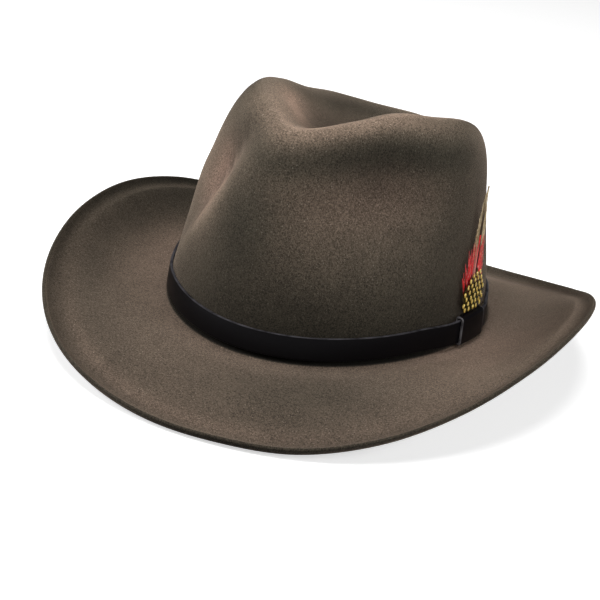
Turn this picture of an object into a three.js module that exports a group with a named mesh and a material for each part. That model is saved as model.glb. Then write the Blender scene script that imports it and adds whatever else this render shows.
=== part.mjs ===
// A felt bush hat with a leather band, a leather keeper and three feathers.
// Millimetres, +Z up. The front of the hat faces -Y and the wearer's left is +X.
// The hat stands on the front and back of its brim, and the origin is under its middle.
import * as THREE from 'three';

// Felt
const feltThickness = 2.2;
const headLength = 201.6;
const headWidth = 168;
const crownHeight = 122.7;
const crownSetBack = 4.6;
const dentDepth = 24;
const dentFloorSlope = 0.1;
const pinchDepth = 9;
const breakRadius = 2.5;

// Brim
const brimLength = 344.8;
const brimWidth = 294.8;
const brimSideRise = 43.4;
const brimEgg = 0.01;
const breakHeightFront = 17.5;
const breakHeightSide = 24.5;
const breakHeightBack = 17.9;
const rimWidth = 9;
const rimRise = 3.4;
const restPress = 0.8;

// Band and keeper
const bandHeight = 12.6;
const bandThickness = 1.6;
const bandEaseAngle = 15;
const keeperLength = 24;
const keeperThickness = 1.3;
const keeperAngle = 87.5;
const keeperMarginAngle = 2;
const fitGap = 0.3;

// Feathers
const featherThickness = 1.3;
const quillFoot = 4.2;
const goldFeatherLength = 27;
const goldFeatherWidth = 27;
const redFeatherLength = 40;
const redFeatherWidth = 24;
const tanFeatherLength = 78;
const tanFeatherWidth = 15;

// Finishes
const feltFinish = { color: 0x4d443b, roughness: 0.95, metalness: 0 };
const bandFinish = { color: 0x17151a, roughness: 0.45, metalness: 0 };
const keeperFinish = { color: 0x1c1a20, roughness: 0.5, metalness: 0 };
const featherRoughness = 0.8;

// Steps round the hat, the band and the keeper
const aroundSteps = 72;
const bandSteps = 72;
const keeperSteps = 6;

const degrees = Math.PI / 180;

// The crown's ridge, seen from above. Angles go from the front towards the wearer's left.
// side and front are shares of half the head's width and length, rise of the crown's height.
const ridge = [
  { angle: 0, side: 0.00, front: 0.745, rise: 0.945 },
  { angle: 22, side: 0.29, front: 0.560, rise: 0.980 },
  { angle: 45, side: 0.48, front: 0.330, rise: 1.000 },
  { angle: 68, side: 0.61, front: 0.050, rise: 0.955 },
  { angle: 92, side: 0.66, front: -0.170, rise: 0.920 },
  { angle: 120, side: 0.60, front: -0.420, rise: 0.865 },
  { angle: 150, side: 0.36, front: -0.610, rise: 0.825 },
  { angle: 180, side: 0.00, front: -0.690, rise: 0.825 },
  { angle: 210, side: -0.31, front: -0.620, rise: 0.820 },
  { angle: 240, side: -0.50, front: -0.450, rise: 0.830 },
  { angle: 268, side: -0.57, front: -0.200, rise: 0.860 },
  { angle: 292, side: -0.60, front: 0.050, rise: 0.930 },
  { angle: 315, side: -0.57, front: 0.270, rise: 0.978 },
  { angle: 338, side: -0.38, front: 0.530, rise: 0.985 },
];

// The brim's edge: how far it is lifted at each angle, as a share of the sides' rise.
const brimLift = [
  { angle: 0, lift: 0.00 },
  { angle: 15, lift: 0.00 },
  { angle: 30, lift: 0.03 },
  { angle: 45, lift: 0.21 },
  { angle: 60, lift: 0.50 },
  { angle: 75, lift: 0.81 },
  { angle: 90, lift: 1.01 },
  { angle: 105, lift: 1.01 },
  { angle: 120, lift: 0.83 },
  { angle: 135, lift: 0.54 },
  { angle: 150, lift: 0.28 },
  { angle: 165, lift: 0.09 },
  { angle: 180, lift: 0.00 },
  { angle: 195, lift: 0.01 },
  { angle: 210, lift: 0.14 },
  { angle: 225, lift: 0.38 },
  { angle: 240, lift: 0.67 },
  { angle: 255, lift: 0.91 },
  { angle: 270, lift: 0.99 },
  { angle: 285, lift: 0.88 },
  { angle: 300, lift: 0.65 },
  { angle: 315, lift: 0.40 },
  { angle: 330, lift: 0.20 },
  { angle: 345, lift: 0.07 },
];

// The crown's wall from the brim up to the ridge.
// rise is a share of the wall's height, inward of the way from the head's oval to the ridge.
const wallRows = [
  { rise: 0.05, inward: 0.010 },
  { rise: 0.12, inward: 0.030 },
  { rise: 0.22, inward: 0.070 },
  { rise: 0.33, inward: 0.125 },
  { rise: 0.44, inward: 0.190 },
  { rise: 0.55, inward: 0.260 },
  { rise: 0.66, inward: 0.345 },
  { rise: 0.76, inward: 0.435 },
  { rise: 0.85, inward: 0.540 },
  { rise: 0.92, inward: 0.660 },
  { rise: 0.97, inward: 0.800 },
  { rise: 1.00, inward: 1.000 },
];

// The dent in the crown's top: how far its floor reaches to the front, the back and the sides,
// as shares of the ridge, and then its slope from the ridge in to that floor.
const dentFloor = { front: 0.34, back: 0.60, side: 0.08 };
const dentRows = [
  { inward: 0.18, drop: 0.05 },
  { inward: 0.36, drop: 0.22 },
  { inward: 0.54, drop: 0.52 },
  { inward: 0.72, drop: 0.82 },
  { inward: 0.88, drop: 0.97 },
];

// Hollows pressed into the crown beside its nose, as shares of the pinch depth.
// angle is where the middle lies, lean how far it turns towards the back going up,
// nose and back how far the hollow spreads to either side, and middle and half its height.
const hollows = [
  { angle: 42, lean: -20, nose: 20, back: 24, middle: 0.78, half: 0.24, depth: 1.00 },
  { angle: -34, lean: 54, nose: 9, back: 19, middle: 0.60, half: 0.32, depth: 1.20 },
  { angle: 121, lean: 0, nose: 40, back: 40, middle: 0.50, half: 0.42, depth: 0.45 },
  { angle: -64, lean: 0, nose: 24, back: 40, middle: 0.45, half: 0.34, depth: -0.38 },
];

// The brim from the crown out to the rim: share of its width, and how much of the way to the
// edge's height it has gone there, at the front and back ends and at the sides.
const brimRows = [
  { out: 0.00, ends: 0.00, sides: 0.00 },
  { out: 0.20, ends: 0.15, sides: 0.06 },
  { out: 0.40, ends: 0.34, sides: 0.19 },
  { out: 0.60, ends: 0.56, sides: 0.39 },
  { out: 0.80, ends: 0.81, sides: 0.67 },
  { out: 1.00, ends: 1.00, sides: 1.00 },
];

// The rolled rim, from its groove to its top: shares of its width and rise.
const rimRows = [
  { out: 0.30, rise: 0.06 },
  { out: 0.55, rise: 0.22 },
  { out: 0.74, rise: 0.48 },
  { out: 0.86, rise: 0.78 },
  { out: 0.90, rise: 1.00 },
];

// The inside corner between brim and crown, as shares of its radius: how high the felt has
// turned up where the wall starts, and how high the keeper's lower edge clears it.
const corner = { wall: 0.75, keeper: 0.52 };

// Reads a column of a table at any angle, with a smooth curve through its rows.
function smoothBetween(table, angle, column) {
  const turn = ((angle % 360) + 360) % 360;
  const count = table.length;
  let index = count - 1;
  while (index > 0 && table[index].angle > turn) index -= 1;
  const row = (step) => {
    const place = index + step;
    const lap = Math.floor(place / count);
    const entry = table[((place % count) + count) % count];
    return { at: entry.angle + 360 * lap, value: entry[column] };
  };
  const [before, from, to, after] = [row(-1), row(0), row(1), row(2)];
  const span = to.at - from.at;
  const share = (turn - from.at) / span;
  const slopeFrom = ((to.value - before.value) / (to.at - before.at)) * span;
  const slopeTo = ((after.value - from.value) / (after.at - from.at)) * span;
  const square = share * share;
  const cube = square * share;
  return (2 * cube - 3 * square + 1) * from.value + (cube - 2 * square + share) * slopeFrom
    + (3 * square - 2 * cube) * to.value + (cube - square) * slopeTo;
}

const mix = (from, to, share) => from + (to - from) * share;

// The height of the inside corner between brim and crown.
function breakHeight(angle) {
  const side = Math.sin(angle * degrees) ** 2;
  const end = Math.cos(angle * degrees) > 0 ? breakHeightFront : breakHeightBack;
  return mix(end, breakHeightSide, side);
}

// A point on the oval round the head, spread by an amount outwards.
function headOval(angle, spread) {
  const turn = angle * degrees;
  const halfWidth = headWidth / 2 + spread;
  const halfLength = headLength / 2 + spread;
  return [halfWidth * Math.sin(turn), crownSetBack - halfLength * Math.cos(turn)];
}

// How deep the crown is pressed in at an angle and a share of the wall's height.
function hollowDepth(angle, rise) {
  let depth = 0;
  for (const hollow of hollows) {
    const middle = hollow.angle + hollow.lean * (rise - hollow.middle);
    const turn = (((angle - middle) % 360) + 540) % 360 - 180;
    const towardsNose = turn * hollow.angle < 0;
    const across = turn / (towardsNose ? hollow.nose : hollow.back);
    const along = (rise - hollow.middle) / hollow.half;
    depth += hollow.depth * Math.exp(-across * across - along * along);
  }
  return depth * pinchDepth;
}

// The crown's outer surface at an angle and a share of the wall's height.
function crownPoint(angle, rise, inward) {
  const [x0, y0] = headOval(angle, feltThickness);
  const x1 = smoothBetween(ridge, angle, 'side') * headWidth / 2;
  const y1 = crownSetBack - smoothBetween(ridge, angle, 'front') * headLength / 2;
  const foot = breakHeight(angle);
  const top = smoothBetween(ridge, angle, 'rise') * crownHeight;
  const reach = Math.hypot(x0, y0 - crownSetBack);
  const pressed = hollowDepth(angle, rise) / reach;
  const x = mix(x0, x1, inward) - x0 * pressed;
  const y = mix(y0, y1, inward) - (y0 - crownSetBack) * pressed;
  return new THREE.Vector3(x, y, foot + top * rise);
}

// The crown's wall at any height, for what lies against it.
function wallPoint(angle, rise) {
  let index = 0;
  const rows = [{ rise: 0, inward: 0 }, ...wallRows];
  while (index < rows.length - 2 && rows[index + 1].rise < rise) index += 1;
  const share = (rise - rows[index].rise) / (rows[index + 1].rise - rows[index].rise);
  return crownPoint(angle, rise, mix(rows[index].inward, rows[index + 1].inward, share));
}

// The dent's surface: each row lies part of the way from the ridge in to the floor's line.
function dentPoint(angle, row) {
  const crest = crownPoint(angle, 1, 1);
  const reach = crest.y < crownSetBack ? dentFloor.front : dentFloor.back;
  const floorX = dentFloor.side * crest.x;
  const floorY = mix(crownSetBack, crest.y, reach);
  const floorZ = crownHeight + breakHeightFront - dentDepth - dentFloorSlope * floorY;
  return new THREE.Vector3(
    mix(crest.x, floorX, row.inward),
    mix(crest.y, floorY, row.inward),
    mix(crest.z, Math.min(floorZ, crest.z), row.drop));
}

// The brim's outer edge, on the felt's upper side.
function brimEdge(angle) {
  const turn = angle * degrees;
  const egg = 1 + brimEgg * (Math.cos(turn) - Math.cos(3 * turn));
  const x = (brimWidth / 2) * Math.sin(turn) * egg;
  const y = -(brimLength / 2) * Math.cos(turn) * egg;
  const z = smoothBetween(brimLift, angle, 'lift') * brimSideRise;
  return new THREE.Vector3(x, y, z + feltThickness - restPress);
}

// The brim's upper side between the crown and the rim's groove.
function brimPoint(angle, row) {
  const [x0, y0] = headOval(angle, feltThickness + breakRadius);
  const edge = brimEdge(angle);
  const width = Math.hypot(edge.x - x0, edge.y - y0);
  const groove = (width - rimWidth) / width;
  const out = row.out * groove;
  const foot = breakHeight(angle);
  const side = Math.sin(angle * degrees) ** 2;
  const z = mix(foot, edge.z, mix(row.ends, row.sides, side));
  return new THREE.Vector3(mix(x0, edge.x, out), mix(y0, edge.y, out), z);
}

// The rim, turned up from its groove to its top.
function rimPoint(angle, row) {
  const groove = brimPoint(angle, { out: 1, ends: 1, sides: 1 });
  const edge = brimEdge(angle);
  return new THREE.Vector3(
    mix(groove.x, edge.x, row.out), mix(groove.y, edge.y, row.out), edge.z + row.rise * rimRise);
}

// Where the wall starts, just above the inside corner at the brim.
function wallStart(angle) {
  const wallHeight = smoothBetween(ridge, angle, 'rise') * crownHeight;
  return crownPoint(angle, corner.wall * breakRadius / wallHeight, 0);
}

// All rows of the felt's upper surface, from the dent's floor out to the rim.
const feltRows = [
  ...[...dentRows].reverse().map((row) => (angle) => dentPoint(angle, row)),
  ...[...wallRows].reverse().map((row) => (angle) => crownPoint(angle, row.rise, row.inward)),
  wallStart,
  ...brimRows.map((row) => (angle) => brimPoint(angle, row)),
  ...rimRows.map((row) => (angle) => rimPoint(angle, row)),
];

// The volume inside a closed skin, negative where its faces point inwards.
function signedVolume(positions, triangles) {
  const corner = (index) => new THREE.Vector3().fromArray(positions, index * 3);
  let volume = 0;
  for (let t = 0; t < triangles.length; t += 3) {
    const [a, b, c] = [corner(triangles[t]), corner(triangles[t + 1]), corner(triangles[t + 2])];
    volume += a.dot(b.cross(c)) / 6;
  }
  return volume;
}

// A named mesh with its faces turned outwards.
function meshOf(name, positions, triangles, finish) {
  if (signedVolume(positions, triangles) < 0) triangles.reverse();
  const geometry = new THREE.BufferGeometry();
  geometry.setAttribute('position', new THREE.Float32BufferAttribute(positions, 3));
  geometry.setIndex(triangles);
  geometry.computeVertexNormals();
  const mesh = new THREE.Mesh(geometry, new THREE.MeshStandardMaterial(finish));
  mesh.name = name;
  return mesh;
}

// The felt is its upper side, the same rows moved in by its thickness, and a cap for each.
// Where it rests it is pressed flat, so nothing of it lies below the ground.
function feltBody() {
  const upper = feltRows.map((row) => {
    const ring = [];
    for (let step = 0; step < aroundSteps; step += 1) ring.push(row(step * 360 / aroundSteps));
    return ring;
  });
  const rows = upper.length;
  const normalAt = (r, s) => {
    const next = upper[r][(s + 1) % aroundSteps];
    const last = upper[r][(s + aroundSteps - 1) % aroundSteps];
    const outer = upper[Math.min(r + 1, rows - 1)][s];
    const inner = upper[Math.max(r - 1, 0)][s];
    const around = new THREE.Vector3().subVectors(next, last);
    const outward = new THREE.Vector3().subVectors(outer, inner);
    return outward.cross(around).normalize();
  };
  const lower = upper.map((ring, r) => ring.map((point, s) => {
    const moved = point.clone().addScaledVector(normalAt(r, s), -feltThickness);
    moved.z = Math.max(moved.z, 0);
    return moved;
  }));
  const positions = [];
  const triangles = [];
  const add = (point) => positions.push(point.x, point.y, point.z);
  const rings = [...upper, ...[...lower].reverse()];
  for (const ring of rings) ring.forEach(add);
  const centre = (ring) => {
    const middle = new THREE.Vector3();
    ring.forEach((point) => middle.add(point));
    return middle.divideScalar(ring.length);
  };
  const topPole = positions.length / 3;
  add(centre(upper[0]));
  const underPole = topPole + 1;
  add(centre(lower[0]));
  for (let r = 0; r < rings.length - 1; r += 1) {
    for (let s = 0; s < aroundSteps; s += 1) {
      const t = (s + 1) % aroundSteps;
      const a = r * aroundSteps + s;
      const b = r * aroundSteps + t;
      const c = (r + 1) * aroundSteps + s;
      const d = (r + 1) * aroundSteps + t;
      triangles.push(a, c, d, a, d, b);
    }
  }
  const lastRing = (rings.length - 1) * aroundSteps;
  for (let s = 0; s < aroundSteps; s += 1) {
    const t = (s + 1) % aroundSteps;
    triangles.push(topPole, s, t);
    triangles.push(underPole, lastRing + t, lastRing + s);
  }
  return meshOf('felt_body', positions, triangles, feltFinish);
}

// A point against the crown's wall: its height above the break, and its distance off the felt.
function againstCrown(angle, height, off) {
  const wallHeight = smoothBetween(ridge, angle, 'rise') * crownHeight;
  const point = wallPoint(angle, height / wallHeight);
  const [nearX, nearY] = headOval(angle, 0);
  const [farX, farY] = headOval(angle, 1);
  const outward = new THREE.Vector3(farX - nearX, farY - nearY, 0).normalize();
  return point.addScaledVector(outward, off);
}

// Joins rings of points into one closed skin, either all the way round or with both ends capped.
function skinOf(name, rings, closed, finish) {
  const size = rings[0].length;
  const positions = rings.flat().flatMap((point) => [point.x, point.y, point.z]);
  const triangles = [];
  const joins = closed ? rings.length : rings.length - 1;
  for (let r = 0; r < joins; r += 1) {
    const next = (r + 1) % rings.length;
    for (let p = 0; p < size; p += 1) {
      const q = (p + 1) % size;
      triangles.push(r * size + p, next * size + p, next * size + q);
      triangles.push(r * size + p, next * size + q, r * size + q);
    }
  }
  if (!closed) {
    const last = (rings.length - 1) * size;
    for (let p = 1; p < size - 1; p += 1) {
      triangles.push(0, p, p + 1);
      triangles.push(last, last + p + 1, last + p);
    }
  }
  return meshOf(name, positions, triangles, finish);
}

// The angle that a length takes up at the side of the crown.
const sideAngle = (length) => (length / (headLength / 2)) / degrees;

// The band clears the inside corner by enough for the keeper to go under it.
const bandLift = corner.keeper * breakRadius + keeperThickness + fitGap;
const quillSlot = featherThickness + fitGap;
const keeperSpread = sideAngle(keeperLength / 2);

// How far the band stands off the crown: more at the keeper, whose back and a quill go behind it.
function bandOff(angle) {
  const turn = Math.abs((((angle - keeperAngle) % 360) + 540) % 360 - 180);
  const beyond = Math.max(turn - keeperSpread - keeperMarginAngle, 0) / bandEaseAngle;
  const share = beyond < 1 ? (1 + Math.cos(Math.PI * beyond)) / 2 : 0;
  return fitGap + share * (quillSlot + keeperThickness + fitGap);
}

// The band's cross-section at an angle.
function bandSection(angle) {
  const off = bandOff(angle);
  const low = bandLift;
  const high = bandLift + bandHeight;
  return [
    againstCrown(angle, low, off),
    againstCrown(angle, low, off + bandThickness),
    againstCrown(angle, high, off + bandThickness),
    againstCrown(angle, high, off),
  ];
}

function hatBand() {
  const sections = [];
  for (let step = 0; step < bandSteps; step += 1) sections.push(bandSection(step * 360 / bandSteps));
  return skinOf('hat_band', sections, true, bandFinish);
}

// The keeper is a flat loop of leather that goes right round the band. A ring is its section at
// an angle, on the outside where wall is its thickness and on the inside where wall is 0.
function keeperRing(angle, wall) {
  const inner = bandOff(angle) - fitGap - wall;
  const outer = bandOff(angle) + bandThickness + fitGap + wall;
  const low = bandLift - fitGap - wall;
  const high = bandLift + bandHeight + fitGap + wall;
  return [
    againstCrown(angle, low, inner),
    againstCrown(angle, low, outer),
    againstCrown(angle, high, outer),
    againstCrown(angle, high, inner),
  ];
}

function bandKeeper() {
  const rings = [];
  for (let step = 0; step <= keeperSteps; step += 1) {
    const angle = keeperAngle + keeperSpread * (2 * step / keeperSteps - 1);
    rings.push({ outside: keeperRing(angle, keeperThickness), inside: keeperRing(angle, 0) });
  }
  const loop = [
    ...rings.map((ring) => ring.outside),
    ...[...rings].reverse().map((ring) => ring.inside),
  ];
  return skinOf('band_keeper', loop, true, keeperFinish);
}

// A feather's outline: share of its length, and of its width, from the foot to the tip.
const vane = {
  leaf: [
    { along: 0.00, width: 0.55 },
    { along: 0.15, width: 0.85 },
    { along: 0.35, width: 1.00 },
    { along: 0.55, width: 0.92 },
    { along: 0.75, width: 0.68 },
    { along: 0.90, width: 0.38 },
    { along: 1.00, width: 0.12 },
  ],
  fan: [
    { along: 0.00, width: 0.40 },
    { along: 0.20, width: 0.62 },
    { along: 0.45, width: 0.88 },
    { along: 0.70, width: 1.00 },
    { along: 0.88, width: 0.86 },
    { along: 1.00, width: 0.50 },
  ],
  quill: [
    { along: 0.00, width: 0.22 },
    { along: 0.16, width: 0.26 },
    { along: 0.28, width: 0.72 },
    { along: 0.45, width: 1.00 },
    { along: 0.65, width: 0.92 },
    { along: 0.82, width: 0.64 },
    { along: 0.93, width: 0.36 },
    { along: 1.00, width: 0.10 },
  ],
};

// A feather lies against the crown. layer says how many feathers lie under it, and foot and tip
// how far its two ends lie behind the keeper's middle, in degrees.
const keeperTop = bandLift + bandHeight + 2 * fitGap + keeperThickness;
const feathers = [
  { name: 'feather_tan', shape: 'quill', layer: 0, from: quillFoot, length: tanFeatherLength,
    width: tanFeatherWidth, foot: 2.5, tip: 8.5, color: 0xcdb083 },
  { name: 'feather_red', shape: 'fan', layer: 1, from: keeperTop, length: redFeatherLength,
    width: redFeatherWidth, foot: 0.5, tip: 3.5, color: 0xd8262b },
  { name: 'feather_gold', shape: 'leaf', layer: 2, from: keeperTop, length: goldFeatherLength,
    width: goldFeatherWidth, foot: 0.5, tip: 2.5, color: 0x8d7420 },
];

// The vane is thickest along its middle: across is a share of its half width.
const vaneRows = [
  { across: -1.0, thick: 0.5 },
  { across: -0.5, thick: 0.9 },
  { across: 0.0, thick: 1.0 },
  { across: 0.5, thick: 0.9 },
  { across: 1.0, thick: 0.5 },
];

function feather({ name, shape, layer, from, length, width, foot, tip, color }) {
  const under = fitGap + layer * (featherThickness + fitGap);
  const sections = vane[shape].map((row) => {
    const height = from + row.along * length;
    const middle = keeperAngle + mix(foot, tip, row.along);
    const place = (across, off) => {
      const turn = across * sideAngle(row.width * width / 2);
      return againstCrown(middle + turn, height, under + off);
    };
    const below = vaneRows.map((entry) => place(entry.across, 0));
    const above = vaneRows.map((entry) => place(entry.across, entry.thick * featherThickness));
    return [...below, ...above.reverse()];
  });
  return skinOf(name, sections, false, { color, roughness: featherRoughness, metalness: 0 });
}

const hat = new THREE.Group();
hat.add(feltBody());
hat.add(hatBand());
hat.add(bandKeeper());
for (const entry of feathers) hat.add(feather(entry));

export default hat;
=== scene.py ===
# %% [markdown]
# # A felt bush hat
#
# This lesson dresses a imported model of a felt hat: one pressed piece of olive-brown felt, a black
# leather band with its keeper, and three feathers tucked behind the band on the wearer's left.
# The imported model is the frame. It says how large everything is and where it sits, and each
# piece below takes the place of one plain solid in it. The front of the hat faces -Y.

import math

import bpy
import numpy as np
from mathutils import Matrix, Vector


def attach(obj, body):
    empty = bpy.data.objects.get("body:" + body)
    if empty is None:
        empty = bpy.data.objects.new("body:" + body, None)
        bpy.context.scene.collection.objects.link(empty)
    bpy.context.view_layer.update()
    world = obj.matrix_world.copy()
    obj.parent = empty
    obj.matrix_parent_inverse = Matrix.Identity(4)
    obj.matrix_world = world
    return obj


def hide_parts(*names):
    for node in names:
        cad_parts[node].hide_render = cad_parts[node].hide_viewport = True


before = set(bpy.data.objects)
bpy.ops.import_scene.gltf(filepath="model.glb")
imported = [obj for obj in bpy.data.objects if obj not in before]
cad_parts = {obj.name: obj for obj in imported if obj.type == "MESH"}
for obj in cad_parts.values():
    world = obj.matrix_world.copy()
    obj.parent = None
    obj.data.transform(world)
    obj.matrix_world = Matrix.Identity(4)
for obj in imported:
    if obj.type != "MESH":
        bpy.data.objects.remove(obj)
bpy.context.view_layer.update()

# %% [markdown]
# ## Tables and curves
#
# A pressed hat has no straight edge, so its shape is told by short tables: how far the crown's
# ridge lies from the middle at each angle, and how far the brim is lifted. Angles start at the
# front and go towards the wearer's left. A closed curve through a table's rows gives every angle
# in between. Sizes are written in millimetres times MM, because Blender counts in metres.

# %% Helpers that read the tables
MM = 0.001


def hermite(t, start, start_slope, end, end_slope):
    """A smooth step from start to end, which leaves and arrives with the given slopes."""
    return ((2 * t**3 - 3 * t**2 + 1) * start + (t**3 - 2 * t**2 + t) * start_slope
            + (3 * t**2 - 2 * t**3) * end + (t**3 - t**2) * end_slope)


def around(table, angles, column):
    """Reads a column at any angles, with a smooth closed curve through the table's rows."""
    count = len(table)
    at = np.array([row["angle"] for row in table], float)
    value = np.array([row[column] for row in table], float)
    turn = np.mod(angles, 360)
    index = np.searchsorted(at, turn, side="right") - 1

    def row(step):
        place = index + step
        return at[place % count] + 360 * (place // count), value[place % count]

    (at0, v0), (at1, v1), (at2, v2), (at3, v3) = row(-1), row(0), row(1), row(2)
    span = at2 - at1
    slope1 = (v2 - v0) / (at2 - at0) * span
    slope2 = (v3 - v1) / (at3 - at1) * span
    return hermite((turn - at1) / span, v1, slope1, v2, slope2)


def mix(start, end, share):
    """Goes from start to end by a share."""
    return start + (end - start) * share


def turn_from(middle, angles):
    """How far round an angle lies from a middle one, in degrees from -180 to 180."""
    return np.mod(angles - middle + 180, 360) - 180


print("10 degrees lie", turn_from(350, 10), "degrees round from 350")

# %% [markdown]
# ## The felt
#
# The real hat is one cone of wool felt, steamed and pressed over a block: an oval head, a crown
# with a teardrop dent and two pinches beside its nose, and a wide brim rolled up at its rim.
# It could be sculpted, or subdivided from a cage. A grid of rows and angles is chosen here,
# because each row is then a named part of the hat, and the leather and feathers can later be
# laid against the same rows.

# %% Sizes of the felt
FELT_THICKNESS = 2.2 * MM
HEAD_LENGTH = 201.6 * MM
HEAD_WIDTH = 168 * MM
CROWN_HEIGHT = 122.7 * MM
CROWN_SET_BACK = 4.6 * MM
DENT_DEPTH = 24 * MM
DENT_FLOOR_SLOPE = 0.1
PINCH_DEPTH = 9 * MM
BREAK_RADIUS = 2.5 * MM
BREAK_HEIGHT = {"front": 17.5 * MM, "side": 24.5 * MM, "back": 17.9 * MM}
BRIM_LENGTH = 344.8 * MM
BRIM_WIDTH = 294.8 * MM
BRIM_SIDE_RISE = 43.4 * MM
BRIM_EGG = 0.01
RIM_WIDTH = 9 * MM
RIM_RISE = 3.4 * MM
REST_PRESS = 0.8 * MM

# %% [markdown]
# The tables follow the felt's profile. RIDGE says where the crown's ridge lies at each angle, as
# shares of the head's half width, half length and the crown's height. BRIM_LIFT gives the lift of
# the brim's edge every few degrees, as a share of its most. WALL_ROWS go from the ridge down, and
# say how far the wall leans in. DENT_ROWS go from the dent's floor out, BRIM_ROWS and RIM_ROWS
# from the crown to the rim. HOLLOWS are the pinches and the softer dents of the wall: each has its
# angle, its lean in degrees over the wall's height, its reach in degrees towards the nose and the
# back, its middle and half height as shares of the wall, and its depth in pinch depths. Where that
# is below 0, the wall swells out.

# %% Tables of the felt
RIDGE = [
    {"angle": 0, "side": 0.00, "front": 0.745, "rise": 0.945},
    {"angle": 22, "side": 0.29, "front": 0.560, "rise": 0.980},
    {"angle": 45, "side": 0.48, "front": 0.330, "rise": 1.000},
    {"angle": 68, "side": 0.61, "front": 0.050, "rise": 0.955},
    {"angle": 92, "side": 0.66, "front": -0.170, "rise": 0.920},
    {"angle": 120, "side": 0.60, "front": -0.420, "rise": 0.865},
    {"angle": 150, "side": 0.36, "front": -0.610, "rise": 0.825},
    {"angle": 180, "side": 0.00, "front": -0.690, "rise": 0.825},
    {"angle": 210, "side": -0.31, "front": -0.620, "rise": 0.820},
    {"angle": 240, "side": -0.50, "front": -0.450, "rise": 0.830},
    {"angle": 268, "side": -0.57, "front": -0.200, "rise": 0.860},
    {"angle": 292, "side": -0.60, "front": 0.050, "rise": 0.930},
    {"angle": 315, "side": -0.57, "front": 0.270, "rise": 0.978},
    {"angle": 338, "side": -0.38, "front": 0.530, "rise": 0.985},
]
LIFT_STEP = 15
LIFTS = [0.00, 0.00, 0.03, 0.21, 0.50, 0.81, 1.01, 1.01, 0.83, 0.54, 0.28, 0.09,
         0.00, 0.01, 0.14, 0.38, 0.67, 0.91, 0.99, 0.88, 0.65, 0.40, 0.20, 0.07]
BRIM_LIFT = [{"angle": LIFT_STEP * step, "lift": lift} for step, lift in enumerate(LIFTS)]
WALL_ROWS = [
    {"rise": 1.00, "inward": 1.000},
    {"rise": 0.97, "inward": 0.800},
    {"rise": 0.92, "inward": 0.660},
    {"rise": 0.85, "inward": 0.540},
    {"rise": 0.76, "inward": 0.435},
    {"rise": 0.66, "inward": 0.345},
    {"rise": 0.55, "inward": 0.240},
    {"rise": 0.44, "inward": 0.160},
    {"rise": 0.33, "inward": 0.092},
    {"rise": 0.22, "inward": 0.042},
    {"rise": 0.12, "inward": 0.014},
    {"rise": 0.05, "inward": 0.004},
]
DENT_FLOOR = {"front": 0.34, "back": 0.60, "side": 0.08}
DENT_ROWS = [
    {"inward": 0.96, "drop": 1.00},
    {"inward": 0.88, "drop": 0.97},
    {"inward": 0.72, "drop": 0.82},
    {"inward": 0.54, "drop": 0.52},
    {"inward": 0.36, "drop": 0.22},
    {"inward": 0.18, "drop": 0.05},
]
HOLLOWS = [
    {"angle": 42, "lean": -20, "nose": 24, "back": 30, "middle": 0.71, "half": 0.24, "depth": 1.50},
    {"angle": -34, "lean": 54, "nose": 8, "back": 19, "middle": 0.60, "half": 0.32, "depth": 1.20},
    {"angle": 121, "lean": 0, "nose": 40, "back": 40, "middle": 0.50, "half": 0.42, "depth": 0.45},
    {"angle": -64, "lean": 0, "nose": 24, "back": 40, "middle": 0.45, "half": 0.34, "depth": -0.38},
]
BRIM_ROWS = [
    {"out": 0.00, "ends": 0.00, "sides": 0.00},
    {"out": 0.20, "ends": 0.15, "sides": 0.06},
    {"out": 0.40, "ends": 0.34, "sides": 0.19},
    {"out": 0.60, "ends": 0.56, "sides": 0.39},
    {"out": 0.80, "ends": 0.81, "sides": 0.67},
    {"out": 1.00, "ends": 1.00, "sides": 1.00},
]
RIM_ROWS = [
    {"out": 0.30, "rise": 0.06},
    {"out": 0.55, "rise": 0.22},
    {"out": 0.74, "rise": 0.48},
    {"out": 0.86, "rise": 0.78},
    {"out": 0.90, "rise": 1.00},
]
print("tables:", len(RIDGE), "ridge,", len(BRIM_LIFT), "lift,", len(WALL_ROWS), "wall,",
      len(DENT_ROWS), "dent,", len(BRIM_ROWS), "brim and", len(RIM_ROWS), "rim rows")

# %% [markdown]
# Each function below gives one row of the felt's upper side at all angles at once. The wall
# goes from the head's oval up to the ridge, the dent from the ridge in to its floor, and the
# brim from the inside corner out to the rim.


# %% Rows of the crown
def break_height(angles):
    """The height of the inside corner between brim and crown."""
    turn = np.radians(angles)
    end = np.where(np.cos(turn) > 0, BREAK_HEIGHT["front"], BREAK_HEIGHT["back"])
    return mix(end, BREAK_HEIGHT["side"], np.sin(turn)**2)


def head_oval(angles, spread):
    """The oval round the head, spread outwards, as x and y."""
    turn = np.radians(angles)
    x = (HEAD_WIDTH / 2 + spread) * np.sin(turn)
    y = CROWN_SET_BACK - (HEAD_LENGTH / 2 + spread) * np.cos(turn)
    return x, y


def hollow_depth(angles, rise):
    """How deep the crown is pressed in. A hollow leans, and is steeper on its nose's side."""
    depth = np.zeros_like(angles, dtype=float)
    for hollow in HOLLOWS:
        middle = hollow["angle"] + hollow["lean"] * (rise - hollow["middle"])
        turn = turn_from(middle, angles)
        towards_nose = turn * hollow["angle"] < 0
        across = turn / np.where(towards_nose, hollow["nose"], hollow["back"])
        along = (rise - hollow["middle"]) / hollow["half"]
        depth += hollow["depth"] * np.exp(-across**2 - along**2)
    return depth * PINCH_DEPTH


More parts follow.
